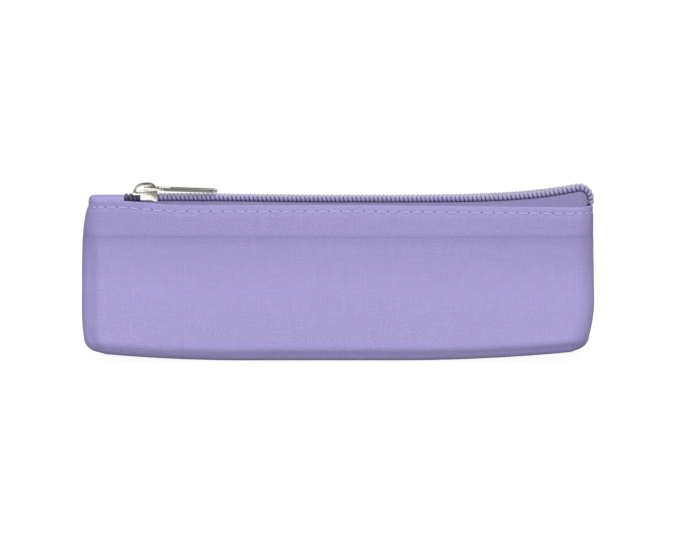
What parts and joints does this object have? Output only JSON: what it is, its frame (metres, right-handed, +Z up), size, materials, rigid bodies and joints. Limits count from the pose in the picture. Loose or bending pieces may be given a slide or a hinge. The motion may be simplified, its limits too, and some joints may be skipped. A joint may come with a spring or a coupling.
{
  "type": "insulin cooling case",
  "caption": "Soft insulated pouch of lavender woven cloth with a foil lining, foam walls, a coil zip along the top and a metal pull, for carrying insulin pens cool.",
  "frame": {"origin": "middle of the pouch's footprint, on the surface that it stands on", "axes": "+X along the length to the viewer's right, -Y out of the front wall, +Z up to the zip"},
  "size_m": [0.2, 0.035, 0.0684],
  "materials": {
    "cloth": "lavender plain-weave oxford cloth",
    "foam": "white closed-cell foam sheet",
    "foil": "silver metallised film",
    "binding": "grey woven binding strip",
    "gel_film": "pale blue film over gel",
    "coil": "grey-purple nylon monofilament",
    "tape": "woven zip tape",
    "nickel": "nickel-plated zinc"
  },
  "bodies": {
    "case": {"outer_back_panel": "cloth", "outer_base_panel": "cloth", "foam_back": "foam", "foam_base": "foam", "lining_back": "foil", "lining_base": "foil", "seam_binding_left": "binding", "seam_binding_right": "binding", "gel_pack": "gel_film", "zip_tape_back": "tape", "zip_coil_back": "coil", "zip_top_stop_back": "nickel", "zip_end_tab": "cloth"},
    "front_wall": {"outer_front_panel": "cloth", "foam_front": "foam", "lining_front": "foil", "zip_tape_front": "tape", "zip_coil_front": "coil", "zip_top_stop_front": "nickel"},
    "slider": {"zip_slider": "nickel"},
    "pull": {"zip_pull": "nickel"}
  },
  "joints": [
    {"name": "zip_slide", "type": "slide", "parent": "case", "child": "slider", "axis": [1, 0, -0.002], "range_m": [0, 0.13], "deforming": ["zip_tape_front", "zip_tape_back", "zip_coil_front", "zip_coil_back"]},
    {"name": "pull_swing", "type": "hinge", "parent": "slider", "child": "pull", "pos_m": [-0.0752, 0, 0.0661], "axis": [0, -1, 0], "range_deg": [0, 165]},
    {"name": "mouth_open", "type": "hinge", "parent": "case", "child": "front_wall", "pos_m": [0, -0.012, 0], "axis": [1, 0, 0], "range_deg": [0, 22.5]}
  ],
  "couplings": [
    {"joint": "mouth_open", "follows": "zip_slide", "rad_per_m": 2.9536}
  ]
}
